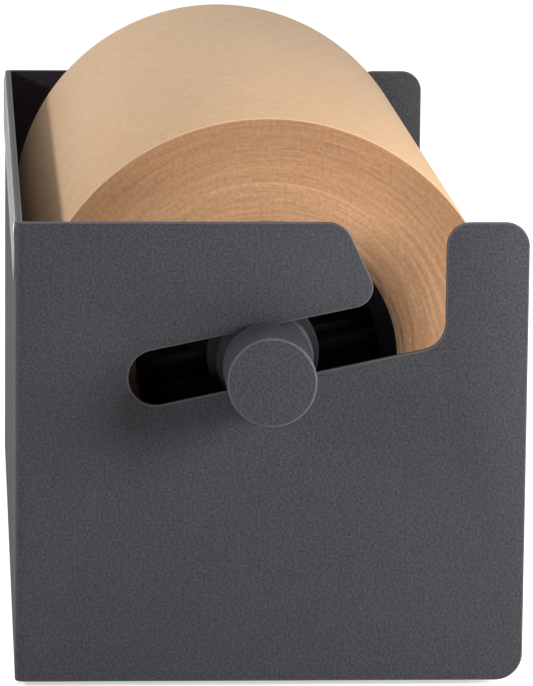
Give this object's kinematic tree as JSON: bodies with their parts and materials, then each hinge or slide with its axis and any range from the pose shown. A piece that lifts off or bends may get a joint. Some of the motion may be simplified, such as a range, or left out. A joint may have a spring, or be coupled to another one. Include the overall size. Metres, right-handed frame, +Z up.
{
  "type": "wrapping paper roll cutter",
  "caption": "Countertop holder for a roll of wrapping paper, with an axle that slides in sloping slots and a toothed strip on the front panel that cuts the paper.",
  "frame": {"origin": "middle of the object's footprint, on the surface that it stands on", "axes": "+X along the roll's axis, -Y towards the front panel with the cutting edge, +Z up"},
  "size_m": [0.4176, 0.1506, 0.1656],
  "materials": {
    "powder_coat": "fine textured powder coat",
    "washer_coat": "satin",
    "blade_steel": "brushed",
    "zinc_steel": "bright zinc",
    "black_steel": "black oxide",
    "foot_rubber": "matt",
    "plug_plastic": "moulded, matt",
    "kraft_paper": "uncoated kraft",
    "core_board": "wound board"
  },
  "bodies": {
    "housing": {"housing_shell": "powder_coat", "base_pan": "powder_coat", "cutter_blade": "blade_steel", "blade_rivets": "zinc_steel", "pan_studs": "zinc_steel", "pan_nuts": "zinc_steel", "foot_front_right": "foot_rubber", "foot_front_left": "foot_rubber", "foot_rear_right": "foot_rubber", "foot_rear_left": "foot_rubber", "foot_screws": "zinc_steel", "foot_nuts": "zinc_steel"},
    "axle": {"axle_rod": "zinc_steel", "knob_right": "powder_coat", "knob_left": "powder_coat", "knob_grub_screws": "black_steel", "shaft_collar_right": "powder_coat", "shaft_collar_left": "powder_coat", "collar_grub_screws": "black_steel", "thrust_washer_right": "washer_coat", "thrust_washer_left": "washer_coat"},
    "roll": {"paper_roll": "kraft_paper", "cardboard_core": "core_board", "core_plug_right": "plug_plastic", "core_plug_left": "plug_plastic"}
  },
  "joints": [
    {"name": "axle_slide", "type": "slide", "parent": "housing", "child": "axle", "axis": [0, 0.9781, 0.2079], "range_m": [0, 0.044]},
    {"name": "roll_spin", "type": "hinge", "parent": "axle", "child": "roll", "pos_m": [0, 0.0002, 0.09378], "axis": [1, 0, 0], "continuous": true}
  ]
}
